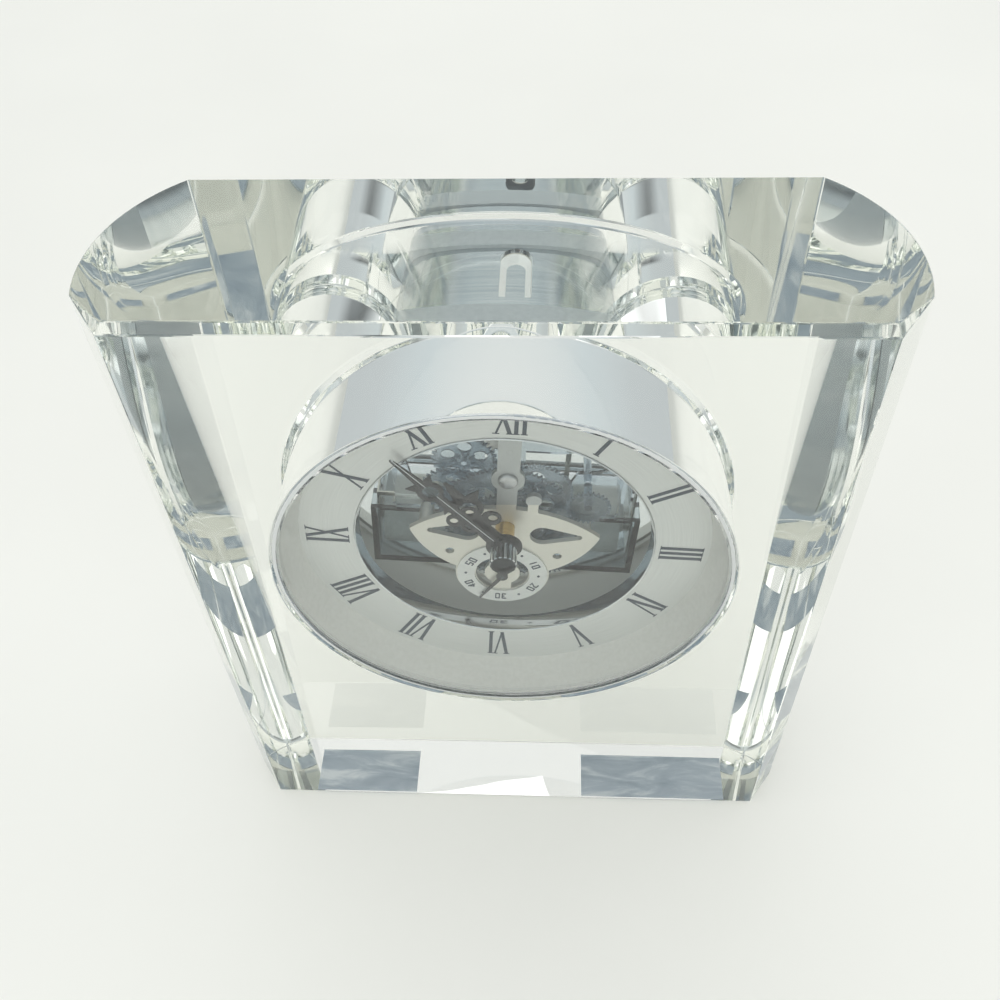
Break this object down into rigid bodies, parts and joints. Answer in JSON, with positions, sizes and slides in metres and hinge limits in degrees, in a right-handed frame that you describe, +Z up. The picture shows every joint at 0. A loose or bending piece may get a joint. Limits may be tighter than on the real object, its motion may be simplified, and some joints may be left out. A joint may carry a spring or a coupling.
{
  "type": "crystal desk clock",
  "caption": "Faceted clear crystal desk block with rounded sides and a round quartz clock insert: open dial, visible gear train, small seconds, and a battery bay at the rear.",
  "frame": {"origin": "middle of the rectangle the clock covers, at the level of the undersides of its pads", "axes": "+Z up, the dial faces -Y, +X to the right as seen from the front"},
  "size_m": [0.13, 0.039, 0.15],
  "materials": {
    "crystal": "clear polished crystal, cut with facets",
    "pad": "soft blue-grey self-adhesive pads",
    "case_metal": "satin silver",
    "chrome": "polished",
    "lens": "clear polished mineral glass",
    "band": "soft grey",
    "white_plastic": "moulded, white",
    "dial": "satin silver, circular grain",
    "ink": "printed ink, dark blue grey",
    "plate": "satin nickel silver",
    "screw": "nickel-plated",
    "smoked": "smoked translucent plastic",
    "wheel_plastic": "moulded translucent blue-grey plastic",
    "brass": "turned",
    "hand_paint": "black, half gloss",
    "rotor_plastic": "moulded, natural white",
    "magnet": "sintered, plated dark grey",
    "core": "annealed soft iron sheet",
    "bobbin": "moulded, black",
    "copper": "enamelled copper wire",
    "board": "green solder mask",
    "can": "drawn tin-plated can",
    "chip": "moulded epoxy, black",
    "battery_wrap": "plain dark wrap",
    "spring_brass": "nickel-tinned spring brass",
    "knob": "moulded, dark grey",
    "clear_plastic": "clear moulded plastic"
  },
  "bodies": {
    "block": {"crystal_block": "crystal", "foot_pads": "pad"},
    "insert": {"case_drum": "case_metal", "front_bezel": "chrome", "front_lens": "lens", "grip_bands": "band", "dial_liner": "white_plastic", "chapter_ring": "dial", "numerals": "ink", "trim_ring": "chrome", "mounting_ring": "smoked", "front_plate": "plate", "mounting_screws": "screw", "bridge_screw": "screw", "seconds_scale": "dial", "seconds_figures": "ink", "pillars": "plate", "rear_plate": "smoked", "pillar_screws": "screw", "stator": "core", "coil_bobbin": "bobbin", "coil_winding": "copper", "motor_screws": "screw", "circuit_board": "board", "quartz_can": "can", "clock_chip": "chip", "battery_tray": "smoked", "battery": "battery_wrap", "battery_contacts": "spring_brass", "rear_cover": "clear_plastic", "rear_ring": "case_metal"},
    "minute": {"centre_wheel": "wheel_plastic", "cannon_pinion": "brass", "minute_hand": "hand_paint", "hand_nut": "chrome"},
    "motion": {"minute_wheel": "wheel_plastic"},
    "hour": {"hour_wheel": "wheel_plastic", "hour_pipe": "brass", "hour_hand": "hand_paint"},
    "third": {"third_wheel": "wheel_plastic"},
    "seconds": {"seconds_wheel": "wheel_plastic", "seconds_hand": "hand_paint"},
    "idler": {"idler_wheel": "wheel_plastic"},
    "intermediate": {"intermediate_wheel": "wheel_plastic"},
    "drive": {"drive_wheel": "wheel_plastic"},
    "rotor_body": {"rotor": "rotor_plastic", "rotor_magnet": "magnet"},
    "setting": {"setting_wheel": "wheel_plastic", "setting_knob": "knob"},
    "hatch": {"battery_hatch": "smoked"}
  },
  "joints": [
    {"name": "insert_slide", "type": "slide", "parent": "block", "child": "insert", "axis": [0, -1, 0], "range_m": [0, 0.045]},
    {"name": "seconds_spin", "type": "hinge", "parent": "insert", "child": "seconds", "pos_m": [-0.00095, 0, 0.07563], "axis": [0, 1, 0], "continuous": true},
    {"name": "minute_spin", "type": "hinge", "parent": "insert", "child": "minute", "pos_m": [0, 0, 0.09], "axis": [0, 1, 0], "continuous": true},
    {"name": "hour_spin", "type": "hinge", "parent": "insert", "child": "hour", "pos_m": [0, 0, 0.09], "axis": [0, 1, 0], "continuous": true},
    {"name": "motion_spin", "type": "hinge", "parent": "insert", "child": "motion", "pos_m": [0.00562, 0, 0.09779], "axis": [0, 1, 0], "continuous": true},
    {"name": "third_spin", "type": "hinge", "parent": "insert", "child": "third", "pos_m": [0.00764, 0, 0.07817], "axis": [0, 1, 0], "continuous": true},
    {"name": "idler_spin", "type": "hinge", "parent": "insert", "child": "idler", "pos_m": [-0.00719, 0, 0.08726], "axis": [0, 1, 0], "continuous": true},
    {"name": "intermediate_spin", "type": "hinge", "parent": "insert", "child": "intermediate", "pos_m": [-0.01037, 0, 0.09373], "axis": [0, 1, 0], "continuous": true},
    {"name": "drive_spin", "type": "hinge", "parent": "insert", "child": "drive", "pos_m": [-0.00779, 0, 0.1013], "axis": [0, 1, 0], "continuous": true},
    {"name": "rotor_spin", "type": "hinge", "parent": "insert", "child": "rotor_body", "pos_m": [-0.00101, 0, 0.10626], "axis": [0, 1, 0], "continuous": true},
    {"name": "setting_spin", "type": "hinge", "parent": "insert", "child": "setting", "pos_m": [0.01601, 0, 0.0932], "axis": [0, 1, 0], "continuous": true},
    {"name": "hatch_slide", "type": "slide", "parent": "insert", "child": "hatch", "axis": [0, 1, 0], "range_m": [0, 0.012]}
  ],
  "couplings": [
    {"joint": "minute_spin", "follows": "hour_spin", "ratio": 12},
    {"joint": "motion_spin", "follows": "hour_spin", "ratio": -4},
    {"joint": "third_spin", "follows": "hour_spin", "ratio": -120},
    {"joint": "seconds_spin", "follows": "hour_spin", "ratio": 720},
    {"joint": "idler_spin", "follows": "hour_spin", "ratio": -1107.7},
    {"joint": "intermediate_spin", "follows": "hour_spin", "ratio": 2880},
    {"joint": "drive_spin", "follows": "hour_spin", "ratio": -8640},
    {"joint": "rotor_spin", "follows": "hour_spin", "ratio": 21600},
    {"joint": "setting_spin", "follows": "hour_spin", "ratio": 6.9231}
  ]
}
